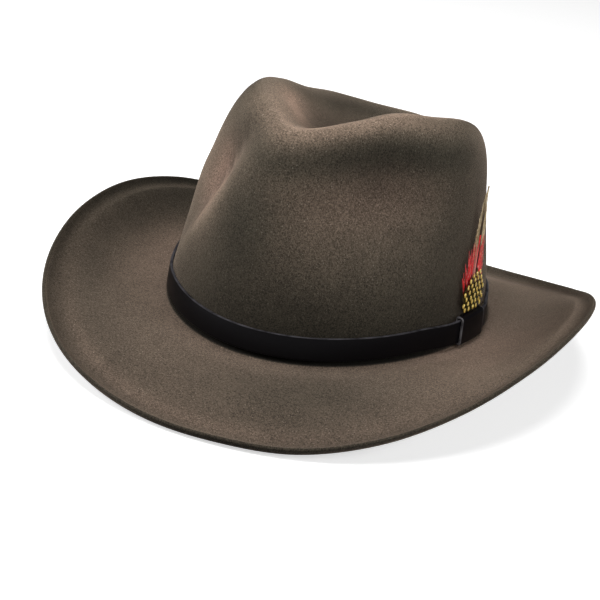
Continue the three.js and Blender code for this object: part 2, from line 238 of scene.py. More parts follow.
def crown_row(angles, rise, inward):
    """The crown's outer side at a share of the wall's height."""
    x0, y0 = head_oval(angles, FELT_THICKNESS)
    x1 = around(RIDGE, angles, "side") * HEAD_WIDTH / 2
    y1 = CROWN_SET_BACK - around(RIDGE, angles, "front") * HEAD_LENGTH / 2
    top = around(RIDGE, angles, "rise") * CROWN_HEIGHT
    pressed = hollow_depth(angles, rise) / np.hypot(x0, y0 - CROWN_SET_BACK)
    x = mix(x0, x1, inward) - x0 * pressed
    y = mix(y0, y1, inward) - (y0 - CROWN_SET_BACK) * pressed
    return np.stack([x, y, break_height(angles) + top * rise], axis=-1)


CORNER_WALL = 0.75


def wall_start(angles):
    """Where the wall starts, just above the inside corner."""
    top = around(RIDGE, angles, "rise") * CROWN_HEIGHT
    return crown_row(angles, CORNER_WALL * BREAK_RADIUS / top, 0)


def dent_row(angles, inward, drop):
    """The dent's surface, part of the way from the ridge in to its floor."""
    crest = crown_row(angles, 1, 1)
    reach = np.where(crest[:, 1] < CROWN_SET_BACK, DENT_FLOOR["front"], DENT_FLOOR["back"])
    floor_y = mix(CROWN_SET_BACK, crest[:, 1], reach)
    floor_z = CROWN_HEIGHT + BREAK_HEIGHT["front"] - DENT_DEPTH - DENT_FLOOR_SLOPE * floor_y
    x = mix(crest[:, 0], DENT_FLOOR["side"] * crest[:, 0], inward)
    y = mix(crest[:, 1], floor_y, inward)
    z = mix(crest[:, 2], np.minimum(floor_z, crest[:, 2]), drop)
    return np.stack([x, y, z], axis=-1)


crest = crown_row(np.array([0.0, 180.0]), 1, 1)
print("the ridge is", (crest[:, 2] / MM).round(1), "mm high in front and behind")


# %% Rows of the brim
def brim_edge(angles):
    """The brim's outer edge on the felt's upper side."""
    turn = np.radians(angles)
    egg = 1 + BRIM_EGG * (np.cos(turn) - np.cos(3 * turn))
    x = BRIM_WIDTH / 2 * np.sin(turn) * egg
    y = -BRIM_LENGTH / 2 * np.cos(turn) * egg
    z = around(BRIM_LIFT, angles, "lift") * BRIM_SIDE_RISE + FELT_THICKNESS - REST_PRESS
    return np.stack([x, y, z], axis=-1)


def brim_row(angles, out, ends, sides):
    """The brim's upper side between the crown and the rim's groove."""
    x0, y0 = head_oval(angles, FELT_THICKNESS + BREAK_RADIUS)
    edge = brim_edge(angles)
    width = np.hypot(edge[:, 0] - x0, edge[:, 1] - y0)
    share = out * (width - RIM_WIDTH) / width
    lift = mix(ends, sides, np.sin(np.radians(angles))**2)
    z = mix(break_height(angles), edge[:, 2], lift)
    return np.stack([mix(x0, edge[:, 0], share), mix(y0, edge[:, 1], share), z], axis=-1)


def rim_row(angles, out, rise):
    """The rim, turned up from its groove to its top."""
    groove = brim_row(angles, 1, 1, 1)
    edge = brim_edge(angles)
    row = mix(groove, edge, out)
    row[:, 2] = edge[:, 2] + rise * RIM_RISE
    return row


edge = brim_edge(np.array([0.0, 90.0]))
print("the brim's edge is", (edge[:, 2] / MM).round(1), "mm high in front and at the side")

# %% [markdown]
# The rows so far are a few dozen. A smooth curve through them, column by column, fills in the
# rows between, so that light runs over the felt without a facet. The under side is the upper
# side moved in along its normals by the felt's thickness, and never lower than the ground, where
# the real brim is pressed flat by its own weight.

# %% Helpers that fill in rows and close a skin
FELT_STEPS = 288
FELT_ANGLES = np.arange(FELT_STEPS) * 360 / FELT_STEPS
ROW_SPACING = 1.9 * MM


def smooth_rows(rows, spacing):
    """A centripetal curve through the rows, with new rows about every spacing.

    A row's points are x, y and z, and may carry more numbers, which are filled in too.
    """
    rows = np.asarray(rows)
    lengths = np.linalg.norm(np.diff(rows[..., :3], axis=0), axis=2)
    knots = np.concatenate([[0], np.cumsum(np.sqrt(lengths.mean(axis=1)))])
    filled = []
    slopes = np.gradient(rows, knots, axis=0)
    for index in range(len(rows) - 1):
        span = knots[index + 1] - knots[index]
        steps = max(1, round(lengths[index].mean() / spacing))
        for step in range(steps):
            t = step / steps
            filled.append(hermite(t, rows[index], span * slopes[index],
                                  rows[index + 1], span * slopes[index + 1]))
    filled.append(rows[-1])
    return np.array(filled)


def grid_normals(grid):
    """The normal at each point of a grid of rows, closed round its columns."""
    around_hat = np.roll(grid, -1, axis=1) - np.roll(grid, 1, axis=1)
    outward = np.gradient(grid, axis=0)
    normals = np.cross(outward, around_hat)
    return normals / np.linalg.norm(normals, axis=2, keepdims=True)


def keep_numbers(mesh, numbers):
    """Stores named numbers on a mesh's points, for its finish to read."""
    for key, values in numbers.items():
        layer = mesh.attributes.new(key, "FLOAT", "POINT")
        layer.data.foreach_set("value", np.asarray(values, np.float32).ravel())


def mesh_piece(name, points, faces, numbers):
    """A smooth-shaded mesh object at the origin, with named numbers on its points."""
    mesh = bpy.data.meshes.new(name)
    mesh.from_pydata([tuple(point) for point in points], [], faces)
    mesh.update()
    keep_numbers(mesh, numbers)
    mesh.shade_smooth()
    piece = bpy.data.objects.new(name, mesh)
    bpy.context.scene.collection.objects.link(piece)
    print(name, len(mesh.vertices), "points", len(mesh.polygons), "faces")
    return piece


def skin_faces(rings, size, closed):
    """Quads between rings of points, each ring closed on itself."""
    faces = []
    for ring in range(rings if closed else rings - 1):
        after = (ring + 1) % rings
        for point in range(size):
            beside = (point + 1) % size
            faces.append((ring * size + point, after * size + point,
                          after * size + beside, ring * size + beside))
    return faces


# %% [markdown]
# The felt is painted paler on its ridges and swells, as a painted highlight, and darker in its
# hollows and at the foot of the crown, as painted shade, standing in for how light falls on the
# pressed shape. How high a point stands is measured by comparing the surface with a smoothed copy
# of itself, once with a narrow smoothing for ridges and edges, and once with a wide one for broad
# swells and hollows.


# %% A helper that measures how proud the surface stands
def proudness(grid, passes):
    """How far each point stands out of a smoothed copy of the grid, in millimetres."""
    smooth = grid.copy()
    for _ in range(passes):
        beside = np.roll(smooth, 1, axis=1) + np.roll(smooth, -1, axis=1)
        middle = smooth[1:-1]
        smooth[1:-1] = middle / 2 + (smooth[2:] + smooth[:-2] + beside[1:-1]) / 8
    return np.sum((grid - smooth) * grid_normals(grid), axis=2) / MM


# %% [markdown]
# Soft patches of painted light and shade come on top: a painted highlight along the edge of the
# front pinch, painted shade just under the ridge and at the foot of the crown, and more like them.
# Two tables list these patches, each at an angle and a place along the profile, with its spread both
# ways and its tone in stops, where one stop is twice as pale. Places run from -1 at the dent's floor
# through 0 at the ridge and 1 at the crown's foot to 2 at the rim.

# %% Tables of the felt's painted light and shade
ALL_ROUND = 1000
# painted light and shade on the crown: stops above 0 are painted light, below 0 painted shade
CROWN_PAINTED_LIGHT = [
    {"angle": -34, "place": 0.36, "wide": 12, "tall": 0.14, "stops": 1.8},
    {"angle": -43, "place": 0.52, "wide": 13, "tall": 0.13, "stops": 1.5},
    {"angle": -42, "place": 0.85, "wide": 14, "tall": 0.12, "stops": -0.7},
    {"angle": -7, "place": 0.42, "wide": 14, "tall": 0.24, "stops": -1.4},
    {"angle": 48, "place": 0.34, "wide": 28, "tall": 0.12, "stops": 0.8},
    {"angle": 50, "place": 0.13, "wide": 70, "tall": 0.08, "stops": -1.7},
    {"angle": 0, "place": -0.05, "wide": 20, "tall": 0.10, "stops": 0.6},
    {"angle": 42, "place": 0.00, "wide": 30, "tall": 0.05, "stops": 0.6},
    {"angle": -28, "place": -0.42, "wide": 28, "tall": 0.20, "stops": 1.4},
    {"angle": -55, "place": 0.08, "wide": 26, "tall": 0.16, "stops": -1.5},
    {"angle": 104, "place": 0.45, "wide": 34, "tall": 0.50, "stops": -1.8},
    {"angle": -122, "place": -0.25, "wide": 55, "tall": 0.34, "stops": -2.4},
    {"angle": 0, "place": 1.00, "wide": ALL_ROUND, "tall": 0.42, "stops": -2.0},
]
# painted light and shade on the brim and at its rim
BRIM_PAINTED_LIGHT = [
    {"angle": -118, "place": 1.85, "wide": 40, "tall": 0.35, "stops": -1.6},
    {"angle": -55, "place": 1.70, "wide": 38, "tall": 0.30, "stops": -0.45},
    {"angle": -80, "place": 1.25, "wide": 30, "tall": 0.30, "stops": 0.7},
    {"angle": 84, "place": 1.30, "wide": 24, "tall": 0.45, "stops": 0.9},
    {"angle": 30, "place": 1.35, "wide": 26, "tall": 0.32, "stops": -0.7},
    {"angle": -10, "place": 1.82, "wide": 60, "tall": 0.08, "stops": 0.5},
    {"angle": 0, "place": 2.00, "wide": ALL_ROUND, "tall": 0.04, "stops": -0.7},
    {"angle": 0, "place": 1.00, "wide": ALL_ROUND, "tall": 0.16, "stops": 0.5},
]


def felt_painted_light(angles, place):
    """The felt's painted light and shade in stops at an angle and a place along the profile."""
    sums = []
    for table in (CROWN_PAINTED_LIGHT, BRIM_PAINTED_LIGHT):
        stops = np.zeros_like(place)
        for patch in table:
            across = turn_from(patch["angle"], angles) / patch["wide"]
            along = (place - patch["place"]) / patch["tall"]
            stops += patch["stops"] * np.exp(-across**2 - along**2)
        sums.append(stops)
    return np.where(place < 1, *sums)


print("tones:", len(CROWN_PAINTED_LIGHT), "patches on the crown,", len(BRIM_PAINTED_LIGHT), "on the brim")

# %% [markdown]
# Now the whole upper side is laid out, each row with its place beside it. The skin goes over it
# from the dent to the rim, round the cut edge in a half circle, and back along the under side.
# Two poles close the dent's floor above and below.

# %% All rows of the upper side
RIM_PLACE = 1.9
FOOT_PLACE = 0.99


def felt_upper_side():
    """All rows of the upper side, from the dent's floor out to the rim, each with its place."""
    angles = FELT_ANGLES
    rows = [(dent_row(angles, row["inward"], row["drop"]), -row["inward"]) for row in DENT_ROWS]
    rows += [(crown_row(angles, row["rise"], row["inward"]), 1 - row["rise"]) for row in WALL_ROWS]
    rows.append((wall_start(angles), FOOT_PLACE))
    rows += [(brim_row(angles, row["out"], row["ends"], row["sides"]), mix(1, RIM_PLACE, row["out"]))
             for row in BRIM_ROWS]
    rows += [(rim_row(angles, row["out"], row["rise"]), mix(RIM_PLACE, 2, row["out"]))
             for row in RIM_ROWS]
    whole = [np.column_stack([row, np.full(FELT_STEPS, place)]) for row, place in rows]
    filled = smooth_rows(whole, ROW_SPACING)
    return filled[..., :3], filled[..., 3]


# %% Build the felt
EDGE_TURNS = [25, 55, 90, 125, 155]
RIDGE_PASSES = 60
SWELL_PASSES = 700
BRIM_SHARE = 0.35
# painted shade: the cut edge and the under side are painted darker by this many stops
UNDERSIDE_PAINTED_SHADE = -1.2


def cut_edge(upper, lower):
    """Rings of points round the cut edge, in a half circle from the upper side to the lower."""
    middle = (upper[-1] + lower[-1]) / 2
    half = (upper[-1] - lower[-1]) / 2
    ahead = upper[-1] - upper[-2]
    ahead *= np.linalg.norm(half, axis=1, keepdims=True) / np.linalg.norm(ahead, axis=1, keepdims=True)
    return [middle + half * math.cos(turn) + ahead * math.sin(turn)
            for turn in np.radians(EDGE_TURNS)]


def felt_numbers(upper, place, hidden_rings):
    """Each point's ridge, swell and painted light and shade. The edge and the under side carry no
    ridge or swell, and an even painted shade.
    """
    spare = np.zeros((hidden_rings, FELT_STEPS))
    numbers = {}
    for key, passes in (("ridge", RIDGE_PASSES), ("swell", SWELL_PASSES)):
        proud = proudness(upper, passes) * np.where(place < 1, 1, BRIM_SHARE)
        proud = np.concatenate([proud, spare]).ravel()
        numbers[key] = np.append(proud, [proud[0], 0])
    painted_light = felt_painted_light(FELT_ANGLES, place)
    whole = np.concatenate([painted_light, spare + UNDERSIDE_PAINTED_SHADE]).ravel()
    numbers["painted_light"] = np.append(whole, [painted_light[0].mean(), UNDERSIDE_PAINTED_SHADE])
    for key, values in numbers.items():
        print(key, "from", values.min().round(2), "to", values.max().round(2))
    return numbers


def felt_piece():
    """The felt as one closed skin with a rounded cut edge."""
    upper, place = felt_upper_side()
    lower = upper - FELT_THICKNESS * grid_normals(upper)
    lower[..., 2] = np.maximum(lower[..., 2], 0)
    edge = cut_edge(upper, lower)
    rings = np.concatenate([upper, edge, lower[::-1]])
    rings[..., 2] = np.maximum(rings[..., 2], 0)
    points = np.concatenate([rings.reshape(-1, 3), [upper[0].mean(axis=0), lower[0].mean(axis=0)]])
    faces = skin_faces(len(rings), FELT_STEPS, False)
    pole, under_pole = len(points) - 2, len(points) - 1
    last = (len(rings) - 1) * FELT_STEPS
    for step in range(FELT_STEPS):
        beside = (step + 1) % FELT_STEPS
        faces.append((pole, step, beside))
        faces.append((under_pole, last + beside, last + step))
    return mesh_piece("felt", points, faces, felt_numbers(upper, place, len(edge) + len(lower)))


felt = felt_piece()

# %% [markdown]
# ## Laying things against the crown
#
# The leather and the feathers all lie on the crown's wall. Instead of fitting each by eye, one
# function answers where the felt is at any angle and height, and steps off it by a distance.
# Whatever is drawn flat, with its width as an angle and its length as a height, can then be
# wrapped onto the hat.

# %% A helper that lays points against the felt
SIDE_RADIUS = HEAD_LENGTH / 2


def wall_columns():
    """The crown's wall from its foot up to the ridge, as rows of points at every angle."""
    rows = [wall_start(FELT_ANGLES)] + [crown_row(FELT_ANGLES, row["rise"], row["inward"])
                                        for row in WALL_ROWS[::-1]]
    return smooth_rows(rows, ROW_SPACING)


WALL = wall_columns()
WALL_UP = WALL[..., 2] - break_height(FELT_ANGLES)


def wall_place(column, height):
    """x and y of the wall in one column of the grid, at a height above the break."""
    up = WALL_UP[:, column]
    index = np.clip((up <= height).sum(axis=0) - 1, 0, len(WALL) - 2)
    low, high = up[index, np.arange(len(column))], up[index + 1, np.arange(len(column))]
    share = (height - low) / (high - low)
    return mix(WALL[index, column, :2], WALL[index + 1, column, :2], share[:, None])


def against_crown(angles, heights, off):
    """Points at an angle and a height above the break, a distance off the felt."""
    angles, heights, off = np.broadcast_arrays(*[np.atleast_1d(np.asarray(a, float))
                                                 for a in (angles, heights, off)])
    turn = np.mod(angles, 360) / 360 * FELT_STEPS
    column = np.floor(turn).astype(int)
    share = (turn - column)[:, None]
    low = wall_place(column % FELT_STEPS, heights)
    high = wall_place((column + 1) % FELT_STEPS, heights)
    near, far = head_oval(angles, 0), head_oval(angles, MM)
    outward = np.stack([far[0] - near[0], far[1] - near[1]], axis=1)
    outward /= np.linalg.norm(outward, axis=1, keepdims=True)
    flat = mix(low, high, share) + outward * off[:, None]
    return np.column_stack([flat, break_height(angles) + heights])


def side_angle(length):
    """The angle that a length takes up at the side of the crown."""
    return np.degrees(length / SIDE_RADIUS)


print("10 mm at the side take up", side_angle(10 * MM).round(2), "degrees")

# %% [markdown]
# ## The band and its keeper
#
# The band is a strap of smooth black leather, 12.6 mm tall, whose ends meet under a flat loop of
# the same leather, the keeper. A strap could be a curve with a profile. Here it is a ring of
# rounded sections laid against the crown, because the strap leans with the wall behind it and
# stands off where the feathers' quills and the keeper pass behind.

# %% Sizes of the leather
BAND_HEIGHT = 12.6 * MM
BAND_THICKNESS = 1.6 * MM
BAND_EASE_ANGLE = 15
KEEPER_LENGTH = 24 * MM
KEEPER_THICKNESS = 1.3 * MM
KEEPER_ANGLE = 87.5
KEEPER_MARGIN_ANGLE = 2
FIT_GAP = 0.3 * MM
FEATHER_THICKNESS = 1.3 * MM
LEATHER_ROUND = 0.45 * MM
BAND_STEPS = 360
KEEPER_STEPS = 40
CORNER_STEPS = 4
CORNER_KEEPER = 0.52
BAND_LIFT = CORNER_KEEPER * BREAK_RADIUS + KEEPER_THICKNESS + FIT_GAP
QUILL_SLOT = FEATHER_THICKNESS + FIT_GAP
KEEPER_SPREAD = side_angle(KEEPER_LENGTH / 2)
print("the band's foot is", round(BAND_LIFT / MM, 2), "mm above the break, the keeper spans",
      (2 * KEEPER_SPREAD).round(1), "degrees")


# %% Helpers for straps
def band_off(angles):
    """How far the band stands off the crown: more at the keeper."""
    turn = np.abs(turn_from(KEEPER_ANGLE, angles))
    beyond = np.clip((turn - KEEPER_SPREAD - KEEPER_MARGIN_ANGLE) / BAND_EASE_ANGLE, 0, 1)
    return FIT_GAP + (1 + np.cos(np.pi * beyond)) / 2 * (QUILL_SLOT + KEEPER_THICKNESS + FIT_GAP)


def strap_section(low, high, inner, outer, radius):
    """The outline of a strap with rounded corners, as heights and distances off the felt."""
    heights, offs = [], []
    for corner in range(4):
        height = low + radius if corner < 2 else high - radius
        off = outer - radius if corner in (1, 2) else inner + radius
        for step in range(CORNER_STEPS + 1):
            turn = math.radians(90 * (corner + step / CORNER_STEPS))
            heights.append(np.full_like(off, height - radius * math.sin(turn)))
            offs.append(off - radius * math.cos(turn))
    return np.array(heights), np.array(offs)


def strap_rings(angles, low, high, inner, outer, radius):
    """A strap's section at each angle, as rings of points in space, and the points' heights."""
    heights, offs = strap_section(low, high, inner, outer, radius)
    turns = np.broadcast_to(angles, heights.shape)
    points = against_crown(turns.ravel(), heights.ravel(), offs.ravel())
    return points.reshape(*heights.shape, 3).transpose(1, 0, 2), heights.T


# %% Build the band
def band_piece():
    """The band as a closed ring. Its number says how high on the strap a point lies."""
    angles = np.arange(BAND_STEPS) * 360 / BAND_STEPS
    inner = band_off(angles)
    rings, heights = strap_rings(
        angles, BAND_LIFT, BAND_LIFT + BAND_HEIGHT, inner, inner + BAND_THICKNESS, LEATHER_ROUND)
    faces = skin_faces(len(rings), rings.shape[1], True)
    return mesh_piece("band", rings.reshape(-1, 3), faces, {
        "height": (heights - BAND_LIFT) / BAND_HEIGHT})


band = band_piece()

# %% [markdown]
# The keeper is a loop that goes round the band, so it has two skins: one outside, and one inside
# that stands clear of the strap. Walking out along one skin and back along the other, with the
# last ring joined to the first, closes it at both cut ends.


# %% Build the keeper
def keeper_piece():
    """The keeper: an outer skin round the band and an inner one, joined at both cut ends."""
    share = np.linspace(-1, 1, KEEPER_STEPS + 1)
    angles = KEEPER_ANGLE + KEEPER_SPREAD * share
    inner = band_off(angles)
    outer = inner + BAND_THICKNESS
    low, high = BAND_LIFT - FIT_GAP, BAND_LIFT + BAND_HEIGHT + FIT_GAP
    skins = []
    for wall in (KEEPER_THICKNESS, 0):
        rings, _ = strap_rings(angles, low - wall, high + wall, inner - FIT_GAP - wall,
                               outer + FIT_GAP + wall, LEATHER_ROUND + wall)
        skins.append(rings)
    rings = np.concatenate([skins[0], skins[1][::-1]])
    faces = skin_faces(len(rings), rings.shape[1], True)
    return mesh_piece("keeper", rings.reshape(-1, 3), faces, {
        "end": np.repeat(np.abs([share, share]), rings.shape[1])})


keeper = keeper_piece()

# %% [markdown]
# ## Node trees from a script
#
# Materials and Geometry Nodes are both trees of nodes. One small helper adds a node, sets its
# own settings, and fills its inputs either with a number or with a link from another node. It
# keeps every tree below short enough to read as a recipe. Two more make what recurs: the result
# of a sum, and a vector from numbers.


# %% A helper that adds nodes
def add(tree, kind, inputs=None, **settings):
    """Adds a node, sets its settings, and fills or links its inputs by name or number."""
    node = tree.nodes.new(kind)
    for key, value in settings.items():
        setattr(node, key, value)
    for key, value in (inputs or {}).items():
        if isinstance(value, bpy.types.NodeSocket):
            tree.links.new(value, node.inputs[key])
        else:
            node.inputs[key].default_value = value
    return node


def math_node(tree, operation, *values):
    """A math node's result."""
    return add(tree, "ShaderNodeMath", dict(enumerate(values)), operation=operation).outputs[0]


def vector(tree, **parts):
    """A vector from numbers along X, Y and Z."""
    return add(tree, "ShaderNodeCombineXYZ", parts).outputs[0]


# %% [markdown]
# Both node groups of this lesson start and end alike. They start from named inputs, and they end
# in real copies with their material, because the export drops instances. Both also read an
# outline, which is a curve through a short table.


# %% Helpers for Geometry Nodes
def new_group(name, inputs):
    """A Geometry Nodes tree with named inputs, and the sockets that give them."""
    tree = bpy.data.node_groups.new(name, "GeometryNodeTree")
    for title, kind in inputs.items():
        tree.interface.new_socket(title, in_out="INPUT", socket_type="NodeSocket" + kind)
    tree.interface.new_socket("Geometry", in_out="OUTPUT", socket_type="NodeSocketGeometry")
    return tree, tree.nodes.new("NodeGroupInput").outputs


def end_group(tree, geometry, material):
    """Makes the copies real, gives them their material and sends them out."""
    real = add(tree, "GeometryNodeRealizeInstances", {0: geometry})
    painted = add(tree, "GeometryNodeSetMaterial", {
        "Geometry": real.outputs[0], "Material": material})
    out = tree.nodes.new("NodeGroupOutput")
    tree.links.new(painted.outputs[0], out.inputs[0])


def outline_share(tree, along, outline):
    """The width of an outline at a share of its length, from a table of shares."""
    shape = add(tree, "ShaderNodeFloatCurve", {"Value": along})
    curve = shape.mapping.curves[0]
    for index, row in enumerate(outline):
        if index < 2:
            curve.points[index].location = (row["along"], row["width"])
        else:
            curve.points.new(row["along"], row["width"])
    shape.mapping.update()
    return shape.outputs[0]


def random_number(tree, low, high, seed):
    """A random number for each point."""
    return add(tree, "FunctionNodeRandomValue", {
        "Min": low, "Max": high, "Seed": seed}, data_type="FLOAT").outputs["Value"]


# %% [markdown]
# A tree does nothing until a modifier runs it. The next helper puts it on an empty mesh, sets its
# inputs by their identifiers, keeps the result as a plain mesh and takes the modifier off again.


# %% A helper that runs a tree and keeps its mesh
def run_group(name, tree, values):
    """Runs a tree on an empty mesh with its inputs set, and returns the plain mesh object."""
    holder = bpy.data.objects.new(name, bpy.data.meshes.new(name + "_start"))
    bpy.context.scene.collection.objects.link(holder)
    modifier = holder.modifiers.new("Build", "NODES")
    modifier.node_group = tree
    for item in tree.interface.items_tree:
        if item.in_out == "INPUT":
            modifier[item.identifier] = values[item.name]
    evaluated = holder.evaluated_get(bpy.context.evaluated_depsgraph_get())
    mesh = bpy.data.meshes.new_from_object(evaluated)
    holder.modifiers.remove(modifier)
    holder.data = mesh
    mesh.name = name
    print(name, len(mesh.vertices), "points", len(mesh.polygons), "faces")
    return holder


# %% [markdown]
# ## The feathers
#
# A feather is a shaft with barbs on both sides, each barb a fine blade that leaves the shaft
# outwards and bends towards the tip. It could be one painted strip, but then its edge would be a
# clean line. Geometry Nodes repeat one blade along a shaft instead: the tree below places it at
# each point of a line, scales it by the feather's outline and varies it a little with a fixed
# seed. The feather is made flat first, and its points are then laid against the crown.

# %% One barb and the shaft
BARB_STEPS = 6
BARB_SIDES = 3
BARB_BEND = (0.72, 0.22)
BARB_TAPER = 0.55
BARB_TIP = 0.15
SHAFT_POINTS = 24
SHAFT_SIDES = 8
SHAFT_TIP = 0.15


def rod(tree, curve, radius, sides, width):
    """A closed rod along a curve, with its own radius at each point."""
    sized = add(tree, "GeometryNodeSetCurveRadius", {"Curve": curve, "Radius": radius})
    profile = add(tree, "GeometryNodeCurvePrimitiveCircle", {"Resolution": sides})
    tree.links.new(width, profile.inputs["Radius"])
    return add(tree, "GeometryNodeCurveToMesh", {
        "Curve": sized.outputs[0], "Profile Curve": profile.outputs[0],
        "Fill Caps": True}).outputs[0]


def barb(tree, side, width):
    """One unit barb in the plane, from the shaft at 0 out to its tip."""
    curve = add(tree, "GeometryNodeCurveQuadraticBezier", {
        "Resolution": BARB_STEPS, "Start": (0, 0, 0),
        "Middle": (BARB_BEND[0] * side, BARB_BEND[1], 0), "End": (side, 1, 0)})
    along = add(tree, "GeometryNodeSplineParameter").outputs["Factor"]
    taper = math_node(tree, "POWER", math_node(tree, "SUBTRACT", 1.0, along), BARB_TAPER)
    radius = math_node(tree, "MULTIPLY_ADD", taper, 1 - BARB_TIP, BARB_TIP)
    return rod(tree, curve.outputs[0], radius, BARB_SIDES, width)


def shaft(tree, length, width):
    """The shaft from the feather's foot to its tip, which thins on the way."""
    line = add(tree, "GeometryNodeCurvePrimitiveLine", {"End": vector(tree, Y=length)})
    line = add(tree, "GeometryNodeResampleCurve", {
        "Curve": line.outputs[0], "Count": SHAFT_POINTS})
    along = add(tree, "GeometryNodeSplineParameter").outputs["Factor"]
    radius = math_node(tree, "MULTIPLY_ADD", along, SHAFT_TIP - 1, 1.0)
    return rod(tree, line.outputs[0], radius, SHAFT_SIDES, width)


# %% The tree that makes a flat feather
SIDE_SEED = 10.0
LENGTH_SEED = 3.0
TILT_SEED = 5.0
MOST_TILT = 0.5
FEATHER_INPUTS = {
    "Length": "Float", "Half width": "Float", "Sweep": "Float", "Barbs": "Int",
    "Barb width": "Float", "Thickness": "Float", "Shaft radius": "Float", "Looseness": "Float",
    "Seed": "Int", "Material": "Material"}


def vane(tree, given, outline, side, seed):
    """The barbs on one side of the shaft, each as long and as loose as its place asks."""
    stretch = math_node(tree, "SUBTRACT", given["Length"], given["Sweep"])
    steps = math_node(tree, "SUBTRACT", given["Barbs"], 1.0)
    spacing = math_node(tree, "DIVIDE", stretch, steps)
    line = add(tree, "GeometryNodeMeshLine", {
        "Count": given["Barbs"], "Offset": vector(tree, Y=spacing)})
    place = add(tree, "GeometryNodeInputPosition")
    root = add(tree, "ShaderNodeSeparateXYZ", {0: place.outputs[0]}).outputs["Y"]
    tip = math_node(tree, "ADD", root, given["Sweep"])
    share = outline_share(tree, math_node(tree, "DIVIDE", tip, given["Length"]), outline)
    reach = math_node(tree, "MULTIPLY", share, given["Half width"])
    least = math_node(tree, "SUBTRACT", 1.0, given["Looseness"])
    vary = random_number(tree, least, 1.0, seed)
    vary_length = random_number(tree, least, 1.0, math_node(tree, "ADD", seed, LENGTH_SEED))
    tilt = random_number(tree, -MOST_TILT, MOST_TILT, math_node(tree, "ADD", seed, TILT_SEED))
    copies = add(tree, "GeometryNodeInstanceOnPoints", {
        "Points": line.outputs[0],
        "Instance": barb(tree, side, given["Barb width"]),
        "Rotation": vector(tree, Z=math_node(tree, "MULTIPLY", tilt, given["Looseness"])),
        "Scale": vector(tree, X=math_node(tree, "MULTIPLY", reach, vary),
                        Y=math_node(tree, "MULTIPLY", given["Sweep"], vary_length),
                        Z=given["Thickness"])})
    return copies.outputs[0]


def feather_tree(name, outline):
    """Geometry Nodes for a flat feather, whose outline is a table of shares."""
    tree, given = new_group(name, FEATHER_INPUTS)
    pieces = [shaft(tree, given["Length"], given["Shaft radius"])]
    for number, side in enumerate((-1, 1)):
        seed = math_node(tree, "ADD", given["Seed"], SIDE_SEED * number)
        pieces.append(vane(tree, given, outline, side, seed))
    joined = add(tree, "GeometryNodeJoinGeometry")
    for piece in pieces:
        tree.links.new(piece, joined.inputs[0])
    end_group(tree, joined.outputs[0], given["Material"])
    return tree


# %% [markdown]
# A flat feather becomes a lying one point by point. Its length turns into height on the crown,
# its width into an angle, and its thickness into a distance off the felt. The feather also leans
# from the angle of its foot to that of its tip, and rises off the felt towards the tip.


# %% A helper that lays a flat feather on the crown
def lay_feather(piece, feather):
    """Moves a flat feather's points onto the crown, and keeps where they were as numbers."""
    mesh = piece.data
    flat = np.empty(len(mesh.vertices) * 3)
    mesh.vertices.foreach_get("co", flat)
    flat = flat.reshape(-1, 3)
    along = flat[:, 1] / feather["length"]
    middle = KEEPER_ANGLE + mix(feather["foot"], feather["tip"], along)
    lift = feather["stand"] * np.clip(along, 0, 1)**2
    off = feather["under"] + flat[:, 2] + lift
    points = against_crown(middle + side_angle(flat[:, 0]), feather["from"] + flat[:, 1], off)
    mesh.vertices.foreach_set("co", points.ravel())
    keep_numbers(mesh, {"across": flat[:, 0] / (feather["width"] / 2), "along": along})
    mesh.update()
    mesh.shade_smooth()
    print(piece.name, "is", (off.max() / MM).round(1), "mm off the felt at most")


# %% [markdown]
# Each feather is a row of sizes. From, length and width say where it starts above the break and
# how large it is, foot and tip how many degrees behind the keeper's middle its ends lie, under how
# far off the felt it starts, and stand how much further its tip is. The barbs' numbers follow.

# %% Sizes of the feathers
QUILL_FOOT = 4.2 * MM
KEEPER_TOP = BAND_LIFT + BAND_HEIGHT + 2 * FIT_GAP + KEEPER_THICKNESS
LAYER = FEATHER_THICKNESS + FIT_GAP
OUTLINES = {
    "quill": [
        {"along": 0.00, "width": 0.10},
        {"along": 0.16, "width": 0.22},
        {"along": 0.28, "width": 0.72},
        {"along": 0.45, "width": 1.00},
        {"along": 0.65, "width": 0.92},
        {"along": 0.82, "width": 0.64},
        {"along": 0.93, "width": 0.36},
        {"along": 1.00, "width": 0.08},
    ],
    "fan": [
        {"along": 0.00, "width": 0.40},
        {"along": 0.20, "width": 0.62},
        {"along": 0.45, "width": 0.88},
        {"along": 0.70, "width": 1.00},
        {"along": 0.88, "width": 0.86},
        {"along": 1.00, "width": 0.50},
    ],
    "leaf": [
        {"along": 0.00, "width": 0.55},
        {"along": 0.15, "width": 0.85},
        {"along": 0.35, "width": 1.00},
        {"along": 0.55, "width": 0.92},
        {"along": 0.75, "width": 0.62},
        {"along": 0.90, "width": 0.30},
        {"along": 1.00, "width": 0.06},
    ],
}
BARB_THICKNESS = 0.9 * MM
SHAFT_RADIUS = 0.45 * MM
TAN_FEATHER = {
    "name": "tan_feather", "outline": "quill", "from": QUILL_FOOT, "length": 78 * MM,
    "width": 18 * MM, "foot": 2.5, "tip": 8.5, "under": 2 * FIT_GAP, "stand": 5.5 * MM,
    "barbs": 120, "sweep": 11 * MM, "barb_width": 0.055, "looseness": 0.12, "seed": 4}
RED_FEATHER = {
    "name": "red_feather", "outline": "fan", "from": KEEPER_TOP, "length": 40 * MM,
    "width": 24 * MM, "foot": 0.5, "tip": 3.5, "under": FIT_GAP + LAYER, "stand": 3 * MM,
    "barbs": 60, "sweep": 24 * MM, "barb_width": 0.045, "looseness": 0.45, "seed": 7}
GOLD_FEATHER = {
    "name": "gold_feather", "outline": "leaf", "from": KEEPER_TOP + FIT_GAP, "length": 22.5 * MM,
    "width": 27 * MM, "foot": 0.5, "tip": 2.5, "under": FIT_GAP + 2 * LAYER, "stand": 0.5 * MM,
    "barbs": 60, "sweep": 10 * MM, "barb_width": 0.05, "looseness": 0.15, "seed": 2}
